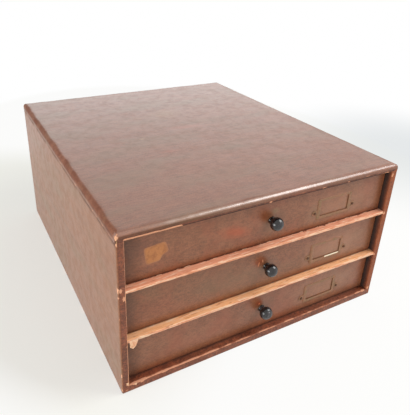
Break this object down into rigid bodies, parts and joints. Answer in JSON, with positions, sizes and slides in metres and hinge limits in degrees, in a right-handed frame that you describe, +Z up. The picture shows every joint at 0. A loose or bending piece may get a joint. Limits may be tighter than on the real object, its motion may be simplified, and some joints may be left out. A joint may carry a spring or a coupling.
{
  "type": "thread drawer cabinet",
  "caption": "Tabletop cabinet for sewing thread: a box covered with brown leathercloth, with stacked full-width sliding drawers, turned knobs and card holders.",
  "frame": {"origin": "centre of the base of the box, on the surface that it stands on", "axes": "+Z up, -Y out of the front where the drawers open, +X to the right seen from the front"},
  "size_m": [0.35, 0.4185, 0.191],
  "materials": {
    "case_wood": "plain sawn softwood",
    "divider_wood": "worn bare wood",
    "drawer_wood": "plain sawn softwood",
    "leathercloth": "coated bookcloth, satin, worn",
    "front_cloth": "coated bookcloth, satin, rubbed",
    "binding": "coated bookcloth, worn at its edges",
    "black_knob": "gloss black lacquer",
    "bronze": "dull bronzed sheet",
    "steel": "plain steel"
  },
  "bodies": {
    "case": {"top_board": "case_wood", "bottom_board": "case_wood", "left_side": "case_wood", "right_side": "case_wood", "back_panel": "case_wood", "lower_divider": "divider_wood", "upper_divider": "divider_wood", "top_covering": "leathercloth", "left_covering": "leathercloth", "right_covering": "leathercloth", "back_covering": "leathercloth", "base_covering": "leathercloth", "top_binding": "binding", "bottom_binding": "binding", "left_binding": "binding", "right_binding": "binding", "case_nails": "steel"},
    "lower_drawer": {"lower_front": "drawer_wood", "lower_front_covering": "front_cloth", "lower_left_wall": "drawer_wood", "lower_right_wall": "drawer_wood", "lower_back_wall": "drawer_wood", "lower_panel": "drawer_wood", "lower_knob": "black_knob", "lower_knob_screw": "steel", "lower_card_holder": "bronze", "lower_card_pins": "bronze", "lower_nails": "steel"},
    "middle_drawer": {"middle_front": "drawer_wood", "middle_front_covering": "front_cloth", "middle_left_wall": "drawer_wood", "middle_right_wall": "drawer_wood", "middle_back_wall": "drawer_wood", "middle_panel": "drawer_wood", "middle_knob": "black_knob", "middle_knob_screw": "steel", "middle_card_holder": "bronze", "middle_card_pins": "bronze", "middle_nails": "steel"},
    "upper_drawer": {"upper_front": "drawer_wood", "upper_front_covering": "front_cloth", "upper_left_wall": "drawer_wood", "upper_right_wall": "drawer_wood", "upper_back_wall": "drawer_wood", "upper_panel": "drawer_wood", "upper_knob": "black_knob", "upper_knob_screw": "steel", "upper_card_holder": "bronze", "upper_card_pins": "bronze", "upper_nails": "steel"}
  },
  "joints": [
    {"name": "lower_drawer_slide", "type": "slide", "parent": "case", "child": "lower_drawer", "axis": [0, -1, 0], "range_m": [0, 0.3]},
    {"name": "middle_drawer_slide", "type": "slide", "parent": "case", "child": "middle_drawer", "axis": [0, -1, 0], "range_m": [0, 0.3]},
    {"name": "upper_drawer_slide", "type": "slide", "parent": "case", "child": "upper_drawer", "axis": [0, -1, 0], "range_m": [0, 0.3]}
  ]
}
